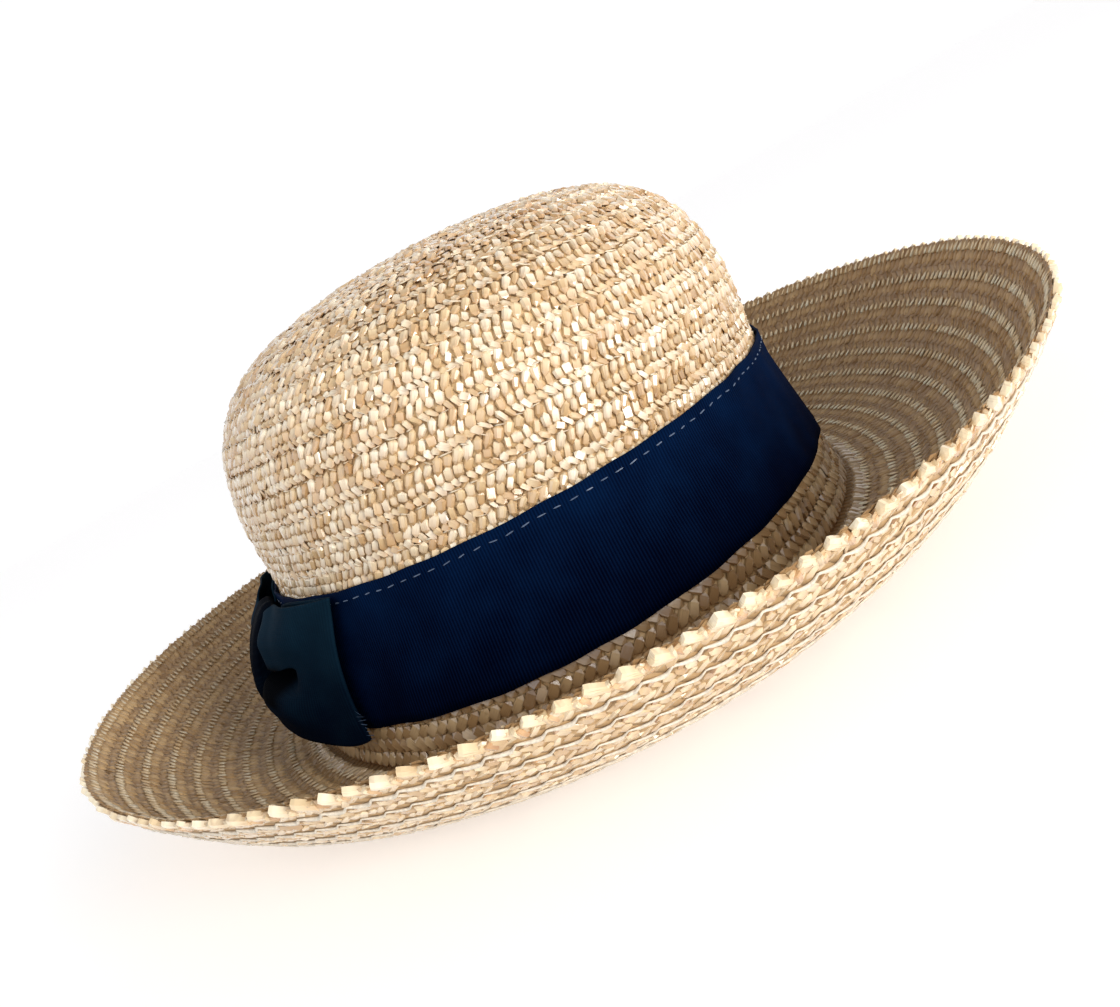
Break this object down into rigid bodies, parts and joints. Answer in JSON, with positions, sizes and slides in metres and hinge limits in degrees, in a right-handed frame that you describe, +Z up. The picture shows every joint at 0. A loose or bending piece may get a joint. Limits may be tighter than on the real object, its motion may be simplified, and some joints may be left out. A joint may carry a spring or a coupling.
{
  "type": "straw boater hat",
  "caption": "Hollow domed straw crown on a brim that turns up to its rim, with a ribbon band and a flat bow at one side.",
  "frame": {"origin": "middle of the flat ring that the brim rests on, at the height of that ring", "axes": "+Z up through the crown, +Y to the back of the hat, +X to the wearer's left, where the bow is"},
  "size_m": [0.286, 0.3236, 0.1076],
  "materials": {
    "straw_crown": "glossy natural straw braid",
    "straw_brim": "glossy natural straw braid",
    "ribbon_band": "matt ribbed ribbon",
    "ribbon_bow": "matt ribbed ribbon"
  },
  "bodies": {
    "root": {"crown": "straw_crown", "brim": "straw_brim", "hat_band": "ribbon_band", "bow_loop_rear": "ribbon_bow", "bow_loop_front": "ribbon_bow", "bow_knot": "ribbon_bow"}
  },
  "joints": []
}
